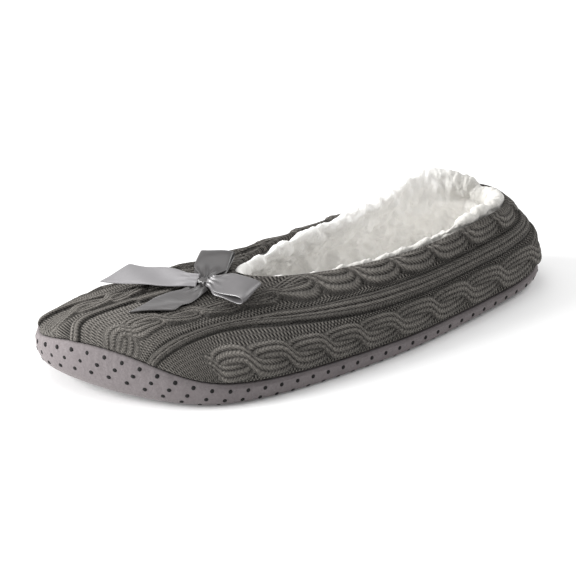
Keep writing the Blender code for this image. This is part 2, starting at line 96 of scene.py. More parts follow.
# cubic spline through the values, its ends level or free of bend
def curveThrough(knots, values, at, levelEnds=True):
    knots = np.array(knots, float)
    values = np.array(values, float)
    step = np.diff(knots)
    slope = np.diff(values) / step
    count = len(knots)
    matrix = np.eye(count)
    target = np.zeros(count)
    for i in range(1, count - 1):
        matrix[i, i - 1:i + 2] = step[i - 1], 2 * (step[i - 1] + step[i]), step[i]
        target[i] = 6 * (slope[i] - slope[i - 1])
    if levelEnds:
        matrix[0, :2] = 2 * step[0], step[0]
        matrix[-1, -2:] = step[-1], 2 * step[-1]
        target[0] = 6 * slope[0]
        target[-1] = -6 * slope[-1]
    bend = np.linalg.solve(matrix, target)
    i = np.clip(np.searchsorted(knots, at, side="right") - 1, 0, count - 2)
    left = at - knots[i]
    right = knots[i + 1] - at
    curved = (bend[i] * right ** 3 + bend[i + 1] * left ** 3) / (6 * step[i])
    straight = (values[i] / step[i] - bend[i] * step[i] / 6) * right
    return curved + straight + (values[i + 1] / step[i] - bend[i + 1] * step[i] / 6) * left


# turn 0 is the back of the heel and half a turn the toe, first along the outer side
def fold(around):
    around = np.mod(around, fullTurn)
    return np.where(around <= np.pi, around, fullTurn - around), around <= np.pi


# a line's value at a turn: its places along the foot become turns by the arc cosine, then a spline
def byTurn(line, name, turn, levelEnds=True):
    along = np.array(line["along"], float)
    knots = np.arccos(np.clip(1 - 2 * (along - along[0]) / (along[-1] - along[0]), -1, 1))
    return curveThrough(knots, line[name], turn, levelEnds)


# straight between the table's turns, then softened over 12 degrees
def waver(name, around):
    table = shoe["waver"]
    degrees = np.mod(np.degrees(around), 360)
    return sum(np.interp(degrees + step, table["turn"], table[name]) for step in (-6, -3, 0, 3, 6)) / 5


# closed line: along grows with the cosine of the turn, across and height are splines of it
def edgeLine(line, around):
    turn, outer = fold(around)
    across = np.where(outer, byTurn(line, "outer", turn, False), byTurn(line, "inner", turn, False))
    first, last = line["along"][0], line["along"][-1]
    along = first + (last - first) * (1 - np.cos(turn)) / 2
    height = byTurn(line, "height", turn)
    if line is shoe["seam"]:
        height = height + waver("lift", around)
    return np.stack([along, across, height], axis=-1)


# cubic curve from a to d, drawn towards b and c by the usual four weights
def bezier(a, b, c, d, share):
    s = share[..., None]
    return a * (1 - s) ** 3 + 3 * b * s * (1 - s) ** 2 + 3 * c * s ** 2 * (1 - s) + d * s ** 3


# the upper's outline: a cubic curve from the seam (level 0) up and over to the collar (level 1)
def wallPoint(around, level):
    wall = shoe["wall"]
    turn = fold(around)[0]
    rise, flare, reach, dip = (
        curveThrough(np.radians(wall["turn"]), wall[name], turn)[..., None]
        for name in ("rise", "flare", "reach", "dip")
    )
    rise = rise - waver("drop", around)[..., None]
    seam = edgeLine(shoe["seam"], around)
    collar = edgeLine(shoe["collar"], around)
    outward = (seam - collar) * (1, 1, 0)
    low = seam + unit(outward) * flare + upward * rise
    high = collar + outward * reach - upward * dip
    return bezier(seam, low, high, collar, level)


# the outline with its direction up the wall and its direction out of the shoe
def wallFrame(around, level):
    step = 1e-3
    forward = wallPoint(around + step, level) - wallPoint(around - step, level)
    climb = unit(wallPoint(around, level + step) - wallPoint(around, level - step))
    return wallPoint(around, level), climb, unit(np.cross(climb, forward))


# level direction out of the shoe: the seam's own direction turned by a right angle
def planOutward(around):
    forward = edgeLine(shoe["seam"], around + 1e-3) - edgeLine(shoe["seam"], around - 1e-3)
    return unit(np.stack([-forward[..., 1], forward[..., 0], 0 * forward[..., 0]], axis=-1))


# turn of a place along the foot, the arc cosine that edgeLine's cosine undoes
def turnAt(along):
    return np.arccos(np.clip(1 - 2 * along / shoe["length"], -1, 1))


# half way between the seam's outer and inner side
def middleAcross(along):
    seam = shoe["seam"]
    turn = turnAt(along)
    return (byTurn(seam, "outer", turn, False) + byTurn(seam, "inner", turn, False)) / 2


# height of the sole over the floor: two parabolas, at the toe and at the heel
def spring(along):
    toeRise, toeStart = shoe["toeSpring"]
    heelRise, heelEnd = shoe["heelSpring"]
    toe = np.clip((along - toeStart) / (shoe["length"] - toeStart), 0, 1)
    return toeRise * toe ** 2 + heelRise * np.clip((heelEnd - along) / heelEnd, 0, 1) ** 2


# the cup's side from the seam (share 0) down and in to the bottom edge (share 1)
def cupSide(around, share, inset=0.0, edgeInset=0.0, floor=0.0):
    seam = edgeLine(shoe["seam"], around)
    out = planOutward(around)
    tuck = byTurn(shoe["seam"], "tuck", fold(around)[0])
    top = seam - out * inset - upward * shoe["gap"] / 2
    low = seam - out * (tuck + edgeInset)[..., None]
    low[..., 2] = spring(low[..., 0]) + floor
    drop = (top - low)[..., 2:3]
    spread = (top - low) * (1, 1, 0)
    down, aside = shoe["cupPull"]
    return bezier(top, top - upward * drop * down, low + spread * aside, low, share)


# two crossed waves, each bent by the other, between -1 and 1
def unevenness(along, across, size):
    a = fullTurn * along / size
    b = fullTurn * across / size
    return np.cos(a + 1.3 * np.cos(0.6 * b)) * np.cos(b + 1.1 * np.cos(0.55 * a + 1))


# distance from the first point, summed from point to point
def runLength(points):
    steps = np.linalg.norm(np.diff(points, axis=0), axis=-1)
    return np.concatenate([np.zeros_like(steps[:1]), np.cumsum(steps, axis=0)])


# even turns all the way round, as one row
def aroundSteps(count):
    return (np.arange(count) * fullTurn / count)[None, :]


# a closed mesh of rings: each ring runs round, neighbours are joined, the ends are capped or joined
def ringMesh(name, rings, joinEnds=False, uv=None, values=None):
    count, steps = rings.shape[:2]
    index = np.arange(count * steps).reshape(count, steps)
    if joinEnds:
        index = np.concatenate([index, index[:1]])
    after = np.roll(index, -1, axis=1)
    quads = np.stack([index[:-1], after[:-1], after[1:], index[1:]], axis=-1).reshape(-1, 4).tolist()
    if not joinEnds:
        half = steps // 2
        for ring in (index[0], index[-1]):
            a, b = ring[1:half], ring[:half:-1]
            quads += np.stack([a[:-1], a[1:], b[1:], b[:-1]], axis=-1).tolist()
            quads += [[ring[0], ring[1], ring[-1]], [ring[half - 1], ring[half], ring[half + 1]]]
    return pieceMesh(name, rings.reshape(-1, 3), quads, uv, values)


# points in millimetres of the outline become a smooth mesh in metres of the shared frame
def pieceMesh(name, points, faces, uv=None, values=None):
    mesh = bpy.data.meshes.new(name)
    mesh.from_pydata(((points - shoe["middle"]) * mm).tolist(), [], faces)
    if uv is not None:
        corner = np.zeros(len(mesh.loops), dtype=np.int32)
        mesh.loops.foreach_get("vertex_index", corner)
        layer = mesh.uv_layers.new(name="cloth")
        layer.data.foreach_set("uv", uv.reshape(-1, 2)[corner].astype(np.float32).ravel())
    for title, value in (values or {}).items():
        layer = mesh.attributes.new(title, "FLOAT", "POINT")
        layer.data.foreach_set("value", value.astype(np.float32).ravel())
    shell = bmesh.new()
    shell.from_mesh(mesh)
    bmesh.ops.recalc_face_normals(shell, faces=shell.faces)
    shell.to_mesh(mesh)
    shell.free()
    mesh.shade_smooth()
    piece = bpy.data.objects.new(name, mesh)
    bpy.context.scene.collection.objects.link(piece)
    print(" ", name, len(mesh.loops) - 2 * len(mesh.polygons), "triangles")
    return piece


# a finished piece gets its material and its body, and the solids that it stands for are hidden
def place(piece, material, slotName, *nodes):
    piece.data.materials.append(material)
    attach(piece, "root")
    if nodes:
        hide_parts(*nodes)
    return piece


# sRGB hex to the linear colour that shaders take
def colour(code):
    value = np.array([int(code[i:i + 2], 16) / 255 for i in (1, 3, 5)])
    linear = np.where(value <= 0.04045, value / 12.92, ((value + 0.055) / 1.055) ** 2.4)
    return (*linear.tolist(), 1.0)


# adds a node; an input takes a number, a colour, another node's first output or a given output
def addNode(tree, kind, inputs=None, **settings):
    node = tree.nodes.new("ShaderNode" + kind)
    for name, value in settings.items():
        setattr(node, name, value)
    for key, value in (inputs or {}).items():
        if isinstance(value, bpy.types.Node):
            value = value.outputs[0]
        if isinstance(value, bpy.types.NodeSocket):
            tree.links.new(value, node.inputs[key])
        else:
            node.inputs[key].default_value = value
    return node


# a new principled material; each setting goes to the shader's own input
def newMaterial(name, **settings):
    material = bpy.data.materials.new(name)
    material.use_nodes = True
    shader = material.node_tree.nodes["Principled BSDF"]
    for key, value in settings.items():
        shader.inputs[key.replace("_", " ")].default_value = value
    return material, material.node_tree, shader


# leads a colour into a shader, and a height that is raised by a distance in metres
def finishSurface(tree, shader, tone, height, strength, distance):
    if tone:
        tree.links.new(tone, shader.inputs["Base Color"])
    bump = addNode(tree, "Bump", {"Strength": strength, "Distance": distance, "Height": height})
    tree.links.new(bump.outputs[0], shader.inputs["Normal"])


# cells of a noise in a metre, for grain of a size in millimetres
def grain(size):
    return 1 / (size * mm)


# charcoal wool-blend yarn: matte, fuzzy at grazing angles, each stitch a small V, grooves in painted
# shade nearly black
def knitMaterial():
    material, tree, shader = newMaterial(
        "charcoal wool yarn", Roughness=0.92, Sheen_Weight=0.25, Sheen_Roughness=0.45,
        Sheen_Tint=colour("#cdc9c2"), Specular_IOR_Level=0.12,
    )
    uv = addNode(tree, "SeparateXYZ", {0: addNode(tree, "UVMap", uv_map="cloth")})
    coords = addNode(tree, "TexCoord").outputs["Object"]
    # loose fibres of 0.9 mm, drawn coarse so that they show, and mottled yarn in patches of 4 mm
    fibres = {"Vector": coords, "Scale": grain(0.91), "Detail": 3.0, "Roughness": 0.7}
    mottling = {"Vector": coords, "Scale": grain(3.85), "Detail": 2.0}
    made = {
        "row": uv.outputs["X"],
        "wale": uv.outputs["Y"],
        "isPurl": addNode(tree, "Attribute", attribute_name="purl").outputs["Fac"],
        "shade": addNode(tree, "Attribute", attribute_name="shade").outputs["Fac"],
        "fuzz": addNode(tree, "TexNoise", fibres),
        "heather": addNode(tree, "TexNoise", mottling),
    }
    # each result's name, how it is worked out and from what
    sums = (
        ("part", "FRACT", "wale"),
        ("offset", "SUBTRACT", "part", 0.5),
        ("aside", "ABSOLUTE", "offset"),
        # the two legs of a stitch slant away from the wale's middle by 0.9 of a row
        ("leg", "MULTIPLY_ADD", "aside", 2 * 0.9, "row"),
        ("legTurn", "MULTIPLY", "leg", fullTurn),
        ("legWave", "COSINE", "legTurn"),
        ("archTurn", "MULTIPLY", "part", np.pi),
        ("waleArch", "SINE", "archTurn"),
        ("waleLine", "MULTIPLY_ADD", "waleArch", 1.6, -1.1),
        ("vee", "MULTIPLY_ADD", "legWave", 0.5, "waleLine"),
        # purl bars lie crosswise, half a row apart from column to column
        ("column", "FLOOR", "wale"),
        ("shifted", "MULTIPLY_ADD", "column", 0.5, "row"),
        ("barTurn", "MULTIPLY", "shifted", fullTurn),
        ("bar", "COSINE", "barTurn"),
        ("purl", "MULTIPLY", "bar", "waleArch"),
        ("change", "SUBTRACT", "purl", "vee"),
        ("stitch", "MULTIPLY_ADD", "change", "isPurl", "vee"),
        ("height", "MULTIPLY_ADD", "fuzz", 1.3, "stitch"),
        # painted shade and light of the stitches, stronger in purl, then fibres and mottling
        ("strength", "MULTIPLY_ADD", "isPurl", 0.36, 0.20),
        ("stitched", "MULTIPLY_ADD", "stitch", "strength", "shade"),
        ("fuzzy", "MULTIPLY_ADD", "fuzz", 0.75, "stitched"),
        ("heathered", "MULTIPLY_ADD", "heather", 0.30, "fuzzy"),
        ("paintedLightAndShade", "SUBTRACT", "heathered", 0.52),
    )
    for name, operation, *values in sums:
        inputs = {i: made.get(value, value) for i, value in enumerate(values)}
        made[name] = addNode(tree, "Math", inputs, operation=operation)
    # painted shade and light: nearly black in the grooves, paler on the raised yarn
    ramp = addNode(tree, "ValToRGB", {0: made["paintedLightAndShade"]})
    tones = ramp.color_ramp.elements
    tones[0].color = colour("#171615")
    tones[1].color = colour("#7b7772")
    tones.new(0.55).color = colour("#4d4a47")
    finishSurface(tree, shader, ramp.outputs[0], made["height"], 1.0, 0.0006)
    return material


# curly polyester fleece: white and dull, fine fibres give every edge a pale bloom; painted shade greys
# the lip
def fleeceMaterial(name, light, shadow, paintedLipShade):
    material, tree, shader = newMaterial(
        name, Roughness=0.95, Sheen_Weight=0.4, Sheen_Roughness=0.6, Specular_IOR_Level=0.05,
    )
    coords = addNode(tree, "TexCoord").outputs["Object"]
    # curls of 1.25 mm, patches of 11 mm
    curls = {"Vector": coords, "Scale": grain(1.25), "Detail": 3.0, "Distortion": 0.8}
    curl = addNode(tree, "TexNoise", curls)
    patch = addNode(tree, "TexNoise", {"Vector": coords, "Scale": grain(11.1), "Detail": 2.0})
    shades = {"Factor": patch, 6: colour(shadow), 7: colour(light)}
    tone = addNode(tree, "Mix", shades, data_type="RGBA")
    # painted shade: where the attribute asks, the colour greys so that the lip's pile looks shaded
    # between its curls
    lipShadeMask = addNode(tree, "Attribute", attribute_name="paintedLipShade").outputs["Fac"]
    shades = {"Factor": lipShadeMask, 6: tone.outputs[2], 7: colour(paintedLipShade)}
    tone = addNode(tree, "Mix", shades, data_type="RGBA")
    finishSurface(tree, shader, tone.outputs[2], curl, 0.6, 0.0007)
    return material


# brushed microfibre suede: dull mauve grey whose nap turns pale where it is seen at a slant
def suedeMaterial():
    material, tree, shader = newMaterial(
        "mauve microsuede", Roughness=0.88, Sheen_Weight=0.3, Sheen_Roughness=0.4,
        Sheen_Tint=colour("#cfc9c6"), Specular_IOR_Level=0.2,
    )
    coords = addNode(tree, "TexCoord").outputs["Object"]
    # nap of 1.1 mm, coarser than the real one so that it shows, in brushed patches of 17 mm
    fibres = {"Vector": coords, "Scale": grain(1.11), "Detail": 4.0, "Roughness": 0.7}
    nap = addNode(tree, "TexNoise", fibres)
    brushed = addNode(tree, "TexNoise", {"Vector": coords, "Scale": grain(16.7), "Detail": 3.0})
    both = addNode(tree, "Mix", {"Factor": 0.25, 2: nap, 3: brushed}, data_type="FLOAT")
    shades = {"Factor": both, 6: colour("#5b5556"), 7: colour("#8a8485")}
    tone = addNode(tree, "Mix", shades, data_type="RGBA")
    finishSurface(tree, shader, tone.outputs[2], nap, 0.7, 0.0004)
    return material


# black rubber print: dark and half dull
def rubberMaterial():
    material, tree, shader = newMaterial(
        "black rubber", Base_Color=colour("#141313"), Roughness=0.75, Specular_IOR_Level=0.25,
    )
    coords = addNode(tree, "TexCoord").outputs["Object"]
    speck = addNode(tree, "TexNoise", {"Vector": coords, "Scale": grain(0.67)})
    finishSurface(tree, shader, None, speck, 0.2, 0.0002)
    return material


# satin ribbon: long floats of filament give a soft band of light across the weave
def satinMaterial(name, light, dark):
    material, tree, shader = newMaterial(
        name, Roughness=0.32, Anisotropic=0.5, Sheen_Weight=0.1, Sheen_Roughness=0.35,
        Specular_IOR_Level=0.8,
    )
    uv = addNode(tree, "SeparateXYZ", {0: addNode(tree, "UVMap", uv_map="cloth")})
    # fine crosswise rib, 0.5 mm apart so that it still shows
    ribTurn = addNode(tree, "Math", {0: uv.outputs["X"], 1: fullTurn / 0.5}, operation="MULTIPLY")
    weft = addNode(tree, "Math", {0: ribTurn}, operation="SINE")
    coords = addNode(tree, "TexCoord").outputs["Object"]
    cloud = addNode(tree, "TexNoise", {"Vector": coords, "Scale": grain(6.25), "Detail": 3.0})
    shades = {"Factor": cloud, 6: colour(dark), 7: colour(light)}
    tone = addNode(tree, "Mix", shades, data_type="RGBA")
    finishSurface(tree, shader, tone.outputs[2], weft, 0.08, 0.0001)
    return material


# cable knit
knit = {
    "steps": 1000, "levels": 88,
    "innerLevels": (1.0, 0.8, 0.55, 0.3, 0.16, 0.06, 0.0),
    "wall": 3.0,
    "sink": 0.8,  # how far the plain knit lies under the outline
    "row": 1.6,  # length of one stitch
    "purlWale": 2.0,
    "places": (70, 66, 51, 45, 40, 33, 27),  # edges of the strips, from the vamp's middle strip
    "edgeTurns": (0, 45, 75, 96, 118),  # levels of those edges on the sides, by turn
    "edgeLevels": (
        (0.06, 0.06, 0.055, 0.055, 0.05),
        (0.40, 0.40, 0.385, 0.39, 0.42),
        (0.48, 0.45, 0.43, 0.47, 0.575),
        (0.72, 0.71, 0.68, 0.69, 0.71),
        (0.77, 0.755, 0.72, 0.735, 0.755),
    ),
    "toeTurns": (118, 145),  # between these turns the strips swing round to run to the toe
    "throat": (154.0, -3.0), "tip": (245.0, -7.5),
    # on the toe the strips fan out towards the seam: their middle and their edges in mm, by level
    "toeLevels": (0.0, 0.08, 0.27, 0.40, 0.53, 1.0),
    "toeMiddle": (0, 0, -5, -7.5, -8, -8),
    "toePlaces": (0, 6.5, 7.5, 12, 20, 33, 40, 45, 70),
    "toeEdges": (
        (0, 0, 0, 0, 0, 0), (8.8, 8.8, 6.8, 6.5, 6.5, 6.5), (15.2, 15.2, 12.8, 10.3, 7.5, 7.5),
        (19.6, 19.6, 17.2, 14.7, 11.8, 11.8), (29.1, 29.1, 27.6, 27.9, 28.4, 28.4),
        (40.1, 40.1, 40, 38.4, 38.4, 38.4), (42.5, 42.5, 45, 44.5, 43, 43),
        (46.5, 46.5, 49.5, 49, 47.5, 47.5), (72, 72, 75, 74, 72, 72),
    ),
    # middle, half width, way it twists, where a lobe is widest, its length before and behind that, end
    "cables": (
        (0.0, 6.5, 1, 90.0, 18.5, 18.5, 400.0), (26.5, 6.5, -1, 60.6, 18.8, 19.1, 400.0),
        (58.5, 7.5, -1, 73.3, 18.4, 21.4, 152.0),
    ),
    "strand": {
        "blunt": 0.25,  # how much the swing from edge to edge is squared off
        "wide": 0.53,  # half width as a share of the cable's
        "wales": 3,
        # start of the height and of the painted shade, and what the arch, the lift and each wale add
        "height": (0.1, 1.0, 0.6, 0.6),
        "shade": (0.12, 0.2, 0.08, 0.34),
    },
    "runOut": (-2, 9),  # a cable sinks into the ground over this length at its end
    "ribs": ((7.5, 12.0, 2), (40.0, 45.0, 4)),  # edges and number of wales
    "ribHeight": (0.75, 0.3),  # of each pair of wales and of each wale
    "ribShade": (0.2, 0.2, 0.25),  # painted shade: start, and what the pair and the wale add
    "groove": (0.8, 0.65, 0.5),  # depth, width and painted shade of the furrow along a rib
    "firstWale": (40, 80),  # wales of cables and ribs are numbered from here, clear of the ground's
    "purlHeight": 0.2,
    "groundShade": 0.39, "rimShade": 0.45,
    "endShade": 0.42,  # where a cable runs out
    # the relief sinks by this share just above the toe's seam, between these turns and levels
    "toeEase": {"share": 0.9, "turns": (130, 145), "levels": (0.22, 0.44)},
    "heelWrap": (40.0, 26.0),
    "toeDrop": (185.0, 215.0, 33.0),
    "paintedToeLight": (115.0, 195.0, 0.35),  # painted light: the knit is paler towards the toe, which faces the light
    "plain": (0.05, 0.95),  # levels between which there is relief
    "toeFace": (130, 150),
    "rollIn": (1.7, 0.035),  # depth at the seam and level where it ends
    "toeTuck": (1.2, 0.14),
    "puff": (0.6, 0.5, 0.08, 0.05),  # height, less at the toe, level and width
    "backSeam": (0.8, 0.012),
    "soft": (0.35, 46.0),  # height and size of the knit's unevenness
}


# the strip coordinate grows evenly from each edge to the next
def throughEdges(value, edges, places):
    total = places[0] + 0 * value
    for low, high, first, last in zip(edges[:-1], edges[1:], places[:-1], places[1:]):
        total = total + (last - first) * np.clip((value - low) / (high - low), 0, 1)
    return total


# place across the strips: by level on the sides, by distance from the middle strip on the toe
def knitPlace(around, level, point):
    turn = fold(around)[0]
    sideTurn = np.minimum(turn, np.radians(knit["edgeTurns"][-1]))
    knots = np.radians(knit["edgeTurns"])
    edges = [curveThrough(knots, row, sideTurn) for row in knit["edgeLevels"]]
    beside = throughEdges(level + 0 * turn, [0 * turn] + edges + [0 * turn + 1], knit["places"])
    throat, tip = knit["throat"], knit["tip"]
    lean = (tip[1] - throat[1]) / (tip[0] - throat[0])
    ahead = point[..., 1] - throat[1] - lean * (point[..., 0] - throat[0])
    ahead = ahead - curveThrough(knit["toeLevels"], knit["toeMiddle"], level)
    fan = [curveThrough(knit["toeLevels"], row, level) for row in knit["toeEdges"]]
    toward = throughEdges(np.abs(ahead), fan, knit["toePlaces"])
    share = smoothStep(*np.radians(knit["toeTurns"]), turn)
    return beside + (toward - beside) * share, np.sign(ahead)


# distance along a strip: straight along the foot and down the toe, round a circle at the heel
def knitLength(point):
    start, radius = knit["heelWrap"]
    back = start - point[..., 0]
    beside = np.abs(point[..., 1] - middleAcross(point[..., 0]))
    drop = smoothStep(*knit["toeDrop"][:2], point[..., 0]) * (knit["toeDrop"][2] - point[..., 2])
    return np.where(back > 0, -radius * np.arctan2(back, beside), -back + drop)


# half circle over each wale: 0 at its edges, 1 in its middle
def waleRound(wale):
    return np.sqrt(np.clip(1 - (2 * (wale - np.floor(wale)) - 1) ** 2, 0, 1))


# two strands swing between the cable's edges and cross once a lobe, as cosines squared off by their
# own size; the one that leans with the twist is lifted, the other sunk, and each is a low arch of wales
def cable(across, length, half, twist, widest, before, behind):
    strand = knit["strand"]
    blunt = strand["blunt"]
    full = np.sqrt(1 + blunt)
    phase = np.pi * (length - widest) / np.where(length > widest, before, behind)
    wave = np.cos(phase)
    size = np.sqrt(wave ** 2 + blunt)
    swing = wave / size * full
    slope = half / 2 * np.pi / before * np.sin(phase) * blunt * full / size ** 3
    nowhere = -9.0
    height = np.full(across.shape, nowhere)
    wale = np.zeros(across.shape)
    shade = np.zeros(across.shape)
    for side in (1, -1):
        aside = across - side * half / 2 * swing
        share = aside / (1 + slope ** 2) ** 0.25 / (half * strand["wide"])
        arch = np.sqrt(np.clip(1 - share ** 2, 0, 1))
        lift = -side * twist * np.sin(phase)
        strandWale = (share + 1) * strand["wales"] / 2
        # painted light and shade: a strand paler on its arch and when lifted, darker at its edges, when
        # sunk and in its creases
        top, tone = (
            start + onArch * arch + onLift * lift + onWale * waleRound(strandWale)
            for start, onArch, onLift, onWale in (strand["height"], strand["shade"])
        )
        top = np.where(np.abs(share) < 1, top, nowhere)
        over = top > height
        wale = np.where(over, strandWale, wale)
        shade = np.where(over, tone, shade)
        height = np.maximum(height, top)
    return height, wale, shade


# height of the knit over its ground, with stitch coordinates, purl share and painted shade: purl bars
# are a cosine along each column, cables lie over them, ribs are half circles with a furrow at either
# edge
def knitRelief(around, level, point):
    where, side = knitPlace(around, level, point)
    length = knitLength(point)
    row = length / knit["row"]
    wale = where / knit["purlWale"]
    bars = np.cos(fullTurn * (row + 0.5 * np.floor(wale)))
    height = knit["purlHeight"] * bars * waleRound(wale)
    # painted light and shade: the purl bars paler where they stand up, darker between them
    shade = knit["groundShade"] + height
    purl = np.ones(where.shape)
    easing = knit["toeEase"]
    atToe = smoothStep(*np.radians(easing["turns"]), fold(around)[0])
    ease = 1 - easing["share"] * atToe * (1 - smoothStep(*easing["levels"], level))
    cableWale, firstRibWale = knit["firstWale"]
    ending, ended = knit["runOut"]
    for middle, half, twist, widest, before, behind, last in knit["cables"]:
        across = where * side if middle == 0 else where - middle
        top, strandWale, tone = cable(across, length, half, twist, widest, before, behind)
        share = ease * (1 - smoothStep(last + ending, last + ended, length))
        top = height + (top - height) * share
        over = top > height + 0.05
        height = np.where(over, top, height)
        wale = np.where(over, strandWale + cableWale, wale)
        shade = np.where(over, knit["endShade"] + (tone - knit["endShade"]) * share, shade)
        purl = np.where(over, 0, purl)
    deep, wide, dark = knit["groove"]
    pairHeight, waleHeight = knit["ribHeight"]
    ribShade, pairShade, waleShade = knit["ribShade"]
    for start, end, count in knit["ribs"]:
        ribWale = (where - start) / (end - start) * count
        inside = (ribWale > 0) & (ribWale < count)
        # every second furrow of a rib is the deeper one
        pair = np.abs(np.sin(np.pi * ribWale / 2)) ** 0.5
        top = pairHeight * pair + waleHeight * waleRound(ribWale)
        # painted light and shade: a rib's pairs and wales paler where they stand up
        tone = ribShade + pairShade * pair + waleShade * waleRound(ribWale)
        furrow = np.exp(-((where - start) / wide) ** 2) + np.exp(-((where - end) / wide) ** 2)
        height = np.where(inside, np.maximum(top, height), height) - deep * furrow
        # painted shade: darker still in the furrows
        shade = np.where(inside, tone, shade) - dark * furrow
        wale = np.where(inside, ribWale + firstRibWale, wale)
        purl = np.where(inside, 0, purl)
    # painted light: paler towards the toe
    start, end, toeLight = knit["paintedToeLight"]
    shade = np.clip(shade + toeLight * smoothStep(start, end, length), 0, 1)
    return height, np.stack([row, wale], axis=-1), purl, shade


# the knit's outer face: the outline moved out by the relief, rolled in at the seam, puffed above it
def knitFace(around, level):
    point, out = wallFrame(around, level)[::2]
    height, uv, purl, shade = knitRelief(around, level, point)
    start, end = knit["plain"]
    fade = smoothStep(0, start, level) * (1 - smoothStep(end, 1, level))
    atToe = smoothStep(*np.radians(knit["toeFace"]), fold(around)[0])
    deep, end = knit["rollIn"]
    roll = -deep * (1 - smoothStep(0, end, level))
    high, less, middle, wide = knit["puff"]
    roll = roll + (high - less * atToe) * np.exp(-((level - middle) / wide) ** 2)
    deep, end = knit["toeTuck"]
    roll = roll - deep * atToe * (1 - smoothStep(0, end, level))
    deep, wide = knit["backSeam"]
    backSeam = -deep * np.exp(-(np.sin(around / 2) / wide) ** 2)
    high, size = knit["soft"]
    soft = high * unevenness(point[..., 0] + point[..., 2], point[..., 1], size)
    move = (height - knit["sink"]) * fade + roll + backSeam + soft * fade
    return point + out * move[..., None], uv, purl, shade


# the knit as a closed band: its face up to the collar, a half circle over the rim, its plain back down
def makeUpper():
    around = aroundSteps(knit["steps"])
    level = np.linspace(0, 1, knit["levels"])[:, None]
    outer, uv, purl, shade = knitFace(around, level)
    outer[0] += upward * shoe["gap"] / 2
    edge, climb, out = wallFrame(around, np.ones((1, 1)))
    angle = np.radians((36, 72, 108, 144))[:, None, None]
    rim = edge + (out * (np.cos(angle) - 1) + climb * np.sin(angle)) * knit["wall"] / 2
    inner, out = wallFrame(around, np.array(knit["innerLevels"])[:, None])[::2]
    rings = np.concatenate([outer, rim, inner - out * knit["wall"]])
    extra = len(rings) - knit["levels"]
    uv = np.concatenate([uv, np.repeat(uv[-1:], extra, axis=0)])
    purl = np.concatenate([purl, np.repeat(purl[-1:], extra, axis=0)])
    shade = np.concatenate([shade, np.full((extra, knit["steps"]), knit["rimShade"])])
    return ringMesh("knitUpper", rings, True, uv, {"purl": purl, "shade": shade})


place(makeUpper(), knitMaterial(), "grey_knit", "upper")
print("knit done")

# sole
cup = {
    "steps": 420, "wall": 3.0, "floor": 3.5, "floorInset": 2.5,
    "rows": (40, 5),  # down the outer and the inner side
    "ground": 0.4,  # the cloth stands this far over the floor, on its dots
    "pucker": 7.0, "puckerDepth": 0.18,
    "puckerBend": (1.2, 9.0),  # keeps the puckers from being even
    "puckerEnd": 0.35,  # share of the side over which they fade
    "toeGather": (115, 150),  # turns over which they set in
    "heelGather": (25, 55, 0.6),
    "topRoll": (0.9, 0.10),  # depth at the seam and share of the side where it ends
    "belly": 0.35,
}


# the cup's side, gathered in small puckers under the seam at the toe and the heel, tucked in at the top
def cupFace(around, share):
    point = cupSide(around, share, floor=cup["ground"])
    turn = fold(around)[0]
    heelStart, heelEnd, heelShare = cup["heelGather"]
    atHeel = 1 - smoothStep(np.radians(heelStart), np.radians(heelEnd), turn)
    gathered = smoothStep(*np.radians(cup["toeGather"]), turn) + heelShare * atHeel
    arc = point[..., 0] * np.cos(turn / 2) + point[..., 1]
    bend, size = cup["puckerBend"]
    pucker = np.cos(fullTurn * arc / cup["pucker"] + bend * np.cos(arc / size))
    pucker = pucker * np.exp(-share / cup["puckerEnd"])
    deep, end = cup["topRoll"]
    roll = deep * (1 - smoothStep(0, end, share))
    belly = cup["belly"] * np.sin(np.pi * share)
    move = cup["puckerDepth"] * gathered * pucker + belly - roll
    return point + planOutward(around) * move[..., None]


# the cup as rings from the outer bottom edge up to the seam and down its plain inside, capped twice
def makeSole():
    around = aroundSteps(cup["steps"])
    outside, inside = (np.linspace(0, 1, count)[:, None] for count in cup["rows"])
    outer = cupFace(around, 1 - outside)
    inner = cupSide(around, inside, cup["wall"], cup["floorInset"], cup["floor"])
    return ringMesh("suedeSole", np.concatenate([outer, inner]))


dots = {
    "spacing": 8.0, "row": 4.7,
    "sideRows": (3.0, 7.4, 11.8),
    "size": 1.1,
    "height": (0.34, 0.2),  # underneath and on the sides
    "sink": 0.15, "shoulder": 0.75, "corners": 8,
    "margin": (0.6, 1.6),  # free cloth at the bottom edge, on the side and underneath
    "range": (12, 232),
}


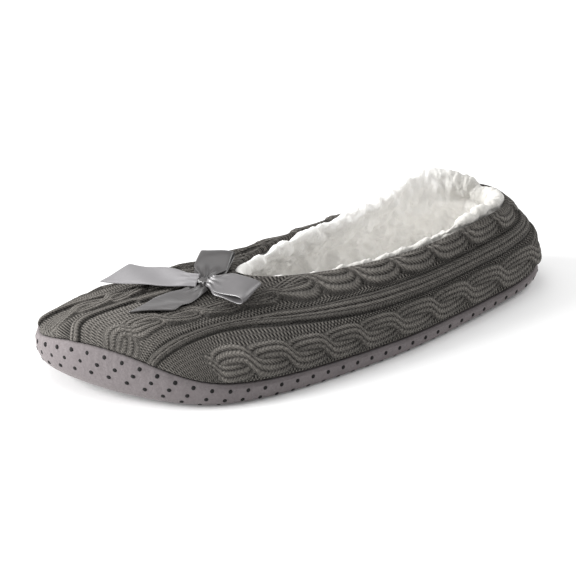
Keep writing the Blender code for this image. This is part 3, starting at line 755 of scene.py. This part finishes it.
# places of the dots: rows at set depths below the seam on the sides, a staggered lattice underneath
def dotPlaces():
    besideMargin, underMargin = dots["margin"]
    fine = np.linspace(0, fullTurn, 4001)
    shares = np.linspace(0, 1, 60)
    run = runLength(cupFace(fine[None, :], shares[:, None]))
    step = 0.01
    places, normals = [], []
    for number, depth in enumerate(dots["sideRows"]):
        share = np.array([np.interp(depth, down, shares) for down in run.T])
        line = cupFace(fine, share)
        arc = runLength(line)
        count = int(arc[-1] / dots["spacing"])
        wanted = (np.arange(count) + 0.5 * (number % 2)) * arc[-1] / count
        at = np.interp(wanted, arc, np.arange(len(fine))).astype(int)
        at = at[run[-1, at] > depth + besideMargin]
        lower, upper = np.minimum(share[at] + step, 1), share[at] - step
        down = cupFace(fine[at], lower) - cupFace(fine[at], upper)
        forward = cupFace(fine[at] + step, share[at]) - cupFace(fine[at] - step, share[at])
        places.append(line[at])
        normals.append(unit(np.cross(forward, down)))
    along = np.arange(4, shoe["length"], dots["spacing"] / 2)
    across = np.arange(-56, 60, dots["row"] * 2)
    x, y = np.meshgrid(along, across, indexing="ij")
    y = y + dots["row"] * (np.arange(len(along)) % 2)[:, None]
    x, y = x.ravel(), y.ravel()
    turn = turnAt(x)
    tuck = byTurn(shoe["seam"], "tuck", turn) + underMargin
    outer, inner = (byTurn(shoe["seam"], name, turn, False) for name in ("outer", "inner"))
    first, last = dots["range"]
    inside = (y < outer - tuck) & (y > inner + tuck) & (x > first) & (x < last)
    x, y = x[inside], y[inside]
    places.append(np.stack([x, y, spring(x) + cup["ground"]], axis=-1))
    normals.append(np.tile(-upward, (len(x), 1)))
    return np.concatenate(places), np.concatenate(normals)


# each dot is a low dome: a foot of eight corners sunk in the cloth, a narrower ring and a top
def makeDots():
    spot, normal = dotPlaces()
    side = unit(np.cross(normal, np.array((0.3, 0.2, 0.9))))
    other = np.cross(normal, side)
    corners = dots["corners"]
    i = np.arange(corners)
    j = (i + 1) % corners
    angle = (i * fullTurn / corners)[:, None]
    ring = (side[:, None] * np.cos(angle) + other[:, None] * np.sin(angle)) * dots["size"]
    under, beside = dots["height"]
    tall = np.where(normal[:, 2] < -0.98, under, beside)[:, None, None]
    foot = spot[:, None] + ring - normal[:, None] * dots["sink"]
    shoulder = spot[:, None] + (ring + normal[:, None] * tall) * dots["shoulder"]
    top = spot[:, None] + normal[:, None] * tall
    points = np.concatenate([foot, shoulder, top], axis=1)
    first = (np.arange(len(spot)) * points.shape[1])[:, None, None]
    walls = np.stack([i, j, j + corners, i + corners], axis=-1)[None] + first
    tops = np.stack([i + corners, j + corners, 0 * i + 2 * corners], axis=-1)[None] + first
    feet = i[::-1][None, :] + first[:, 0]
    faces = walls.reshape(-1, 4).tolist() + tops.reshape(-1, 3).tolist() + feet.tolist()
    return pieceMesh("soleDots", points.reshape(-1, 3), faces)


place(makeSole(), suedeMaterial(), "sole_suedecloth", "sole")
place(makeDots(), rubberMaterial(), "sole_suedecloth")
print("sole done")

# fleece
fleece = {
    "steps": 1000, "pile": 6.0,
    "lean": (1.6, 3.0),  # how far the lip leans out over the knit, outer and inner side
    "innerRise": 0.6,  # how much higher it stands on the inner side
    "innerTurns": (8, 30),
    "round": 0.7,  # power that squares off the lip's half circle
    "outerLevels": (0.05, 0.12, 0.2, 0.3, 0.45, 0.7, 0.97),
    "lip": 22, "innerRows": 62, "innerTop": 0.96,
    "foot": (0.03, 0.09),  # level where the inner side ends, and how much lower at the heel
    "footTurns": (60, 120),
    "footFade": (0.6, 0.2),  # share of the relief in the last rows
    "lipFade": (-0.3, 0.5),
    "lipShadeTurns": {"outer": (120, 165), "heel": (25, 60)},
    # number, radius and height of each size of lump
    "lumps": ((420, 6.0, 2.8), (2600, 2.6, 1.3), (6000, 1.4, 0.6)),
    "leastWeight": 0.5,
    "block": 2000,  # points that are worked out at a time
}


# soft lumps round scattered centres: each falls off as one less the squared distance, squared, and
# where several meet they join as one less the product of what each leaves
def lumps(points, count, size, strong):
    flat = points.reshape(-1, 3).astype(np.float32)
    centres = flat[rng.choice(strong, count)]
    weight = rng.uniform(fleece["leastWeight"], 1.0, count).astype(np.float32)
    joined = np.empty(len(flat))
    for first in range(0, len(flat), fleece["block"]):
        block = flat[first:first + fleece["block"]]
        squares = (block ** 2).sum(axis=1)[:, None] + (centres ** 2).sum(axis=1)[None]
        far = squares - 2 * block @ centres.T
        left = 1 - weight * np.clip(1 - far / size ** 2, 0, 1) ** 2
        joined[first:first + len(block)] = 1 - np.prod(left, axis=1)
    return joined.reshape(points.shape[:-1])


# relief of curly fleece: large lumps, smaller ones on them and the smallest on those
def fleeceRelief(points, fade, share=1.0):
    strong = np.flatnonzero(np.broadcast_to(fade, points.shape[:-1]).ravel() > 0.5)
    relief = sum(
        tall * (lumps(points, int(count * share), size, strong) - 0.5)
        for count, size, tall in fleece["lumps"]
    )
    return relief * fade


# lining: up inside the knit, over a round lip that stands above the collar and down the inner side,
# then moved along its normals by the relief
def makeLining():
    around = aroundSteps(fleece["steps"])
    turn, outer = fold(around)
    beside, within = (byTurn(shoe["collar"], name, turn) for name in ("standOuter", "standInner"))
    depth = knit["wall"] + shoe["gap"]
    low, out = wallFrame(around, np.array(fleece["outerLevels"])[:, None])[::2]
    hidden = low - out * depth
    edge, climb, out = wallFrame(around, np.ones((1, 1)))
    angle = np.linspace(0, np.pi, fleece["lip"])[:, None]
    medial = smoothStep(-0.2, 0.5, -np.sin(around))
    medial = medial * smoothStep(*np.radians(fleece["innerTurns"]), turn)
    lean = fleece["lean"][0] + (fleece["lean"][1] - fleece["lean"][0]) * medial
    inset = depth + fleece["pile"] / 2 * (1 - np.cos(angle)) - lean * np.sin(angle)
    stand = np.where(outer, beside, within) + fleece["innerRise"] * medial
    rise = stand * np.sin(angle) ** fleece["round"]
    lip = edge - out * inset[..., None] + climb * rise[..., None]
    lipOut = out * np.cos(angle)[..., None] + climb * np.sin(angle)[..., None]
    # the inner side ends a little lower at the heel, where it meets the footbed
    end, lower = fleece["foot"]
    foot = end - lower * (1 - smoothStep(*np.radians(fleece["footTurns"]), turn))
    downward = np.linspace(0, 1, fleece["innerRows"])[:, None]
    face, out = wallFrame(around, fleece["innerTop"] + (foot - fleece["innerTop"]) * downward)[::2]
    inner = face - out * (depth + fleece["pile"])
    points = np.concatenate([hidden, lip, inner])
    normals = np.concatenate([np.broadcast_to(out[:1], hidden.shape), lipOut, -out])
    fade = np.concatenate([
        np.zeros(len(hidden)), smoothStep(*fleece["lipFade"], angle[:, 0]),
        np.ones(len(inner) - len(fleece["footFade"])), fleece["footFade"],
    ])[:, None]
    # painted shade on the outer side's lip and round the heel, fading out over the inner side's first
    # rows
    overLip = 1 - smoothStep(-1, 3, np.arange(len(inner)))
    over = np.concatenate([np.ones(len(hidden) + len(lip)), overLip])[:, None]
    turns = fleece["lipShadeTurns"]
    lateral = smoothStep(-0.1, 0.3, np.sin(around))
    lateral = lateral * (1 - smoothStep(*np.radians(turns["outer"]), turn))
    heel = 1 - smoothStep(*np.radians(turns["heel"]), turn)
    paintedLipShade = over * np.maximum(lateral, heel)
    points = points + unit(normals) * fleeceRelief(points, fade)[..., None]
    return ringMesh("fleeceLining", points, True, values={"paintedLipShade": paintedLipShade})


bed = {
    "steps": 500, "rows": 44, "thick": 5.0,
    "spine": (36.0, 205.0),  # line along the foot that the rings close on
    "close": 0.96,
    "toeSink": 0.9, "toeRange": (190.0, 235.0),
    "lumps": (0.7, 0.8),  # number and height as a share of the lining's
    "edgeFade": 0.25,
}


# footbed: the inside of the cup, filled to a soft dished face whose rings close on a line along it
def makeFootbed():
    around = aroundSteps(bed["steps"])
    floor = cup["floor"] + shoe["gap"]
    shares = np.array((1.0, 0.5, 0.0))[:, None]
    sides = cupSide(around, shares, cup["wall"] + shoe["gap"], cup["floorInset"] + shoe["gap"], floor)
    sunk = bed["toeSink"] * smoothStep(*bed["toeRange"], sides[-1, :, 0])
    sides[-1] += (sides[-2] - sides[-1]) * sunk[:, None]
    edge = sides[-1]
    along = np.clip(edge[:, 0], *bed["spine"])
    spine = np.stack([along, middleAcross(along), spring(along) + floor + bed["thick"]], axis=-1)
    share = np.linspace(0, bed["close"], bed["rows"] + 1)[1:, None]
    top = edge + (spine - edge) * share[..., None]
    dish = 1 - (1 - share) ** 2
    top[..., 2] = edge[:, 2] + (spring(top[..., 0]) + floor + bed["thick"] - edge[:, 2]) * dish
    number, high = bed["lumps"]
    relief = fleeceRelief(top, smoothStep(0, bed["edgeFade"], share), number) * high
    top = top + upward * relief[..., None]
    return ringMesh("fleeceFootbed", np.concatenate([sides, top]))


# the last colour is the painted shade on the lip
whiteFleece = fleeceMaterial("white curly fleece", "#fcfbf9", "#f6f4f0", "#c2c0bb")
place(makeLining(), whiteFleece, "white_fleece", "fleece_lining")
footbed = place(makeFootbed(), whiteFleece, "white_fleece", "footbed")
print("fleece done")

# satin bow
bow = {
    "width": 14.5, "thick": 0.7,
    "along": 172.0, "aside": -2.5,
    "knot": (5.4, 6.6, 4.4), "knotMesh": (24, 40),
    "knotPower": (0.6, 0.8),  # squares off the barrel's width and its height
    "knotFolds": (0.4, 0.18),
    "seat": 0.1, "start": 2.6, "steps": 70, "across": 21,
    "open": 3.4,  # distance at which the ribbon starts to open
    "gather": {"tail": (9.0, 17.0), "loop": (5.5, 7.5)},  # width at the knot, length of the opening
    # heading from the toe towards the outer side, length, rise, start height, tilt
    "loops": {"bow_loop_lateral": (113, 25, 0, 2.5, -12), "bow_loop_medial": (-135, 24, 4, 2.5, 0)},
    # the same, and reach of one cut corner
    "tails": {
        "bow_tail_medial": (-43, 39, 0, 3.6, 10, 10), "bow_tail_toe": (19, 34, -4, 1.8, 0, -13.5),
    },
    "belly": 6.0, "neck": 0.7,
    "pleats": 3, "pleatDepth": 0.55, "pleatRange": (4, 13),
    "wave": (0.4, 2.2, 4.0),  # height, slant across and length along of the ribbon's ripple
    "clear": 1.0,  # room between ribbon and knit
    "soften": 6,  # steps on either side over which a tail's height is evened out
}
vampAround, vampLevel = np.meshgrid(np.radians(np.linspace(110, 250, 281)), np.linspace(0.2, 1, 121))
vamp = knitFace(vampAround, vampLevel)[0].reshape(-1, 3)


# height of the knit under a point: that of the nearest of the vamp's points in plan
def vampHeight(points):
    flat = points.reshape(-1, 3)
    far = ((vamp[None, :, :2] - flat[:, None, :2]) ** 2).sum(axis=-1)
    return vamp[far.argmin(axis=1), 2].reshape(points.shape[:-1])


# knot: a flattened barrel, pinched by folds that run over it as two cosines
def knotRings():
    rings, steps = bow["knotMesh"]
    lean = np.linspace(-np.pi / 2, np.pi / 2, rings + 2)[1:-1][:, None]
    around = aroundSteps(steps)
    widePower, highPower = bow["knotPower"]
    wide = np.cos(lean) ** widePower
    high = 1 + np.sign(lean) * np.abs(np.sin(lean)) ** highPower + 0 * around
    ring = np.stack([wide * np.cos(around), wide * np.sin(around), high], axis=-1)
    ring = ring * np.array(bow["knot"]) / 2
    large, small = bow["knotFolds"]
    folds = large * np.cos(5 * around + 1.5 * np.sin(lean * 2) + 0.6)
    folds = folds + small * np.cos(9 * around - 2 * lean)
    return ring + unit(ring - (0, 0, bow["knot"][2] / 2)) * (folds * np.cos(lean))[..., None]


across = middleAcross(np.array([bow["along"]]))[0] + bow["aside"]
knotPoints = knotRings() + (bow["along"], across, 0)
seated = np.max(vampHeight(knotPoints) - knotPoints[..., 2]) + bow["seat"]
bowBase = np.array((bow["along"], across, seated))


# narrow at the knot, opening by an S-shaped step to the ribbon's full width
def ribbonWidth(kind, distance):
    narrow, opening = bow["gather"][kind]
    return narrow + (bow["width"] - narrow) * smoothStep(bow["open"], bow["open"] + opening, distance)


# direction along the ribbon and direction across it, which leans by the tilt
def ribbonAxes(heading, tilt):
    turn, lean = np.radians((heading, tilt))
    ahead = np.array((np.cos(turn), np.sin(turn), 0))
    return ahead, np.array((-np.sin(turn) * np.cos(lean), np.cos(turn) * np.cos(lean), -np.sin(lean)))


# a thin closed band along a path, pleated by a cosine where it goes into the knot, rippled further out
def makeRibbon(name, kind, path, side, distance, slant):
    share = np.linspace(-1, 1, bow["across"])
    width = ribbonWidth(kind, distance)
    forward = unit(np.gradient(path, axis=0))
    normal = unit(np.cross(forward, side))
    middle = path[:, None] + side * (share[:, None] * width[:, None, None] / 2)
    middle = middle + forward[:, None] * (share[:, None] * slant[:, None, None] / 2)
    gathered = (1 - smoothStep(*bow["pleatRange"], distance))[:, None]
    pleat = bow["pleatDepth"] * gathered * np.cos(np.pi * bow["pleats"] * share + 0.4)
    high, lean, size = bow["wave"]
    wave = high * (1 - gathered) * np.sin(share * lean + distance[:, None] / size)
    middle = middle + normal[:, None] * (pleat + wave)[..., None]
    if kind == "tail":
        middle[..., 2] = np.maximum(middle[..., 2], vampHeight(middle) + bow["thick"])
    rounded = np.sqrt(np.clip(1.08 - share ** 8, 0, 1))[:, None]
    half = normal[:, None] * bow["thick"] / 2 * rounded
    rings = np.concatenate([middle + half, (middle - half)[:, ::-1]], axis=1)
    whole = np.concatenate([share, share[::-1]])
    uv = np.stack(np.broadcast_arrays(runLength(path)[:, None], whole * bow["width"] / 2), axis=-1)
    return ringMesh(name, rings, uv=uv)


# least height of a path whose ribbon clears the knit, tried on four lines along the ribbon
def ribbonGround(path, edge):
    lines = [path + edge * share for share in (-1, -0.35, 0.35, 1)]
    return np.max([vampHeight(line) + path[:, 2] - line[:, 2] for line in lines], axis=0) + bow["clear"]


# tail: straight out from the knot, resting on the knit where that is higher, its end cut on the slant
def makeTail(node, name):
    heading, length, rise, start, tilt, cut = bow["tails"][node]
    ahead, side = ribbonAxes(heading, tilt)
    distance = np.linspace(bow["start"], length, bow["steps"])
    share = (distance - bow["start"]) / (length - bow["start"])
    path = bowBase + ahead * distance[:, None]
    slant = cut * share ** 4
    edge = (side * ribbonWidth("tail", distance)[:, None] + ahead * slant[:, None]) / 2
    ground = np.pad(ribbonGround(path, edge), bow["soften"], mode="edge")
    window = 2 * bow["soften"] + 1
    smooth = np.convolve(ground, np.ones(window) / window, mode="valid")
    path[:, 2] = np.maximum(bowBase[2] + start + rise * share, smooth)
    return makeRibbon(name, "tail", path, side, distance, slant)


# loop: out and back, its two layers parting by a raised cosine between the knot and the far end
def makeLoop(node, name):
    heading, length, rise, start, tilt = bow["loops"][node]
    ahead, side = ribbonAxes(heading, tilt)
    turn = np.linspace(0, np.pi, 2 * bow["steps"])
    distance = bow["start"] + (length - bow["start"]) * np.sin(turn) ** 0.8
    lift = -np.cos(turn) * (bow["neck"] + bow["belly"] / 2 * (1 - np.cos(2 * turn)) / 2)
    path = bowBase + ahead * distance[:, None]
    share = (distance - bow["start"]) / (length - bow["start"])
    path[:, 2] = bowBase[2] + start + rise * share + lift
    ground = ribbonGround(path, side * ribbonWidth("loop", distance)[:, None] / 2)
    path[:, 2] += np.max(np.clip(ground - path[:, 2], 0, None))
    return makeRibbon(name, "loop", path, side, distance, 0 * share)


# one satin in four tones: the face, and darker copies in painted shade for the lateral loop, the toe
# tail, and the knot with the medial loop
satin = satinMaterial("grey satin face", "#8e8c8e", "#838183")
shadedSatin = satinMaterial("grey satin, painted loop shade", "#6a6869", "#5f5d5e")
tailShadedSatin = satinMaterial("grey satin, painted tail shade", "#5c5a5a", "#4d4b4b")
deepShadedSatin = satinMaterial("grey satin, deep painted shade", "#4c4a4a", "#3a3838")
knotPiece = ringMesh("satinKnot", knotRings() + bowBase, uv=np.zeros((*bow["knotMesh"], 2)))
place(knotPiece, deepShadedSatin, "grey_satin", "bow_knot")
for make, node, name, material in (
    (makeTail, "bow_tail_medial", "satinTailMedial", satin),
    (makeTail, "bow_tail_toe", "satinTailToe", tailShadedSatin),
    (makeLoop, "bow_loop_lateral", "satinLoopLateral", shadedSatin),
    (makeLoop, "bow_loop_medial", "satinLoopMedial", deepShadedSatin),
):
    place(make(node, name), material, "grey_satin", node)
print("bow done")

# floor, light and camera
studio = {
    "floorSize": 6.0,
    "world": 0.50,
    "lights": {
        # place, aim, size in metres, power in watts
        "key": ((1.45, -0.55, 0.6), (0.05, 0, 0.02), 1.0, 50.0),
        "top": ((0.1, -0.3, 1.6), (0, 0, 0), 1.2, 8.0),
        "behind": ((-1.2, 0.1, 1.1), (0, 0, 0.02), 1.0, 10.0),
    },
    "aim": (0.00481, -0.00755, 0.01954),
    "back": (0.4780, 0.7815, 0.4008),
    "distance": 2.0,
    "lens": 290.0,
    "sensor": 36,
    "clip": (0.1, 50),
}
floorMesh = bpy.data.meshes.new("floor")
half = studio["floorSize"] / 2
corners = [(-half, -half, 0), (half, -half, 0), (half, half, 0), (-half, half, 0)]
floorMesh.from_pydata(corners, [], [(0, 1, 2, 3)])
floor = bpy.data.objects.new("floor", floorMesh)
bpy.context.scene.collection.objects.link(floor)
# white studio paper: dull, and lit a little from within so that it stays white
paper = newMaterial(
    "white paper floor", Base_Color=colour("#f4f4f4"), Roughness=0.9, Specular_IOR_Level=0.1,
    Emission_Color=colour("#ffffff"), Emission_Strength=0.05,
)
floorMesh.materials.append(paper[0])

world = bpy.data.worlds.new("studio")
world.use_nodes = True
background = world.node_tree.nodes["Background"]
background.inputs["Color"].default_value = colour("#ffffff")
background.inputs["Strength"].default_value = studio["world"]
bpy.context.scene.world = world
for name, (spot, aim, size, power) in studio["lights"].items():
    lamp = bpy.data.lights.new(name, "AREA")
    lamp.size = size
    lamp.energy = power
    light = bpy.data.objects.new(name, lamp)
    light.location = spot
    light.rotation_euler = (Vector(aim) - Vector(spot)).to_track_quat("-Z", "Y").to_euler()
    bpy.context.scene.collection.objects.link(light)

camera = bpy.data.objects.new("camera", bpy.data.cameras.new("camera"))
camera.data.lens = studio["lens"]
camera.data.sensor_width = studio["sensor"]
camera.data.clip_start, camera.data.clip_end = studio["clip"]
back = Vector(studio["back"]).normalized()
camera.location = Vector(studio["aim"]) + back * studio["distance"]
camera.rotation_euler = (-back).to_track_quat("-Z", "Y").to_euler()
bpy.context.scene.collection.objects.link(camera)
bpy.context.scene.camera = camera
bpy.context.scene.view_settings.view_transform = "Standard"

print("studio done")
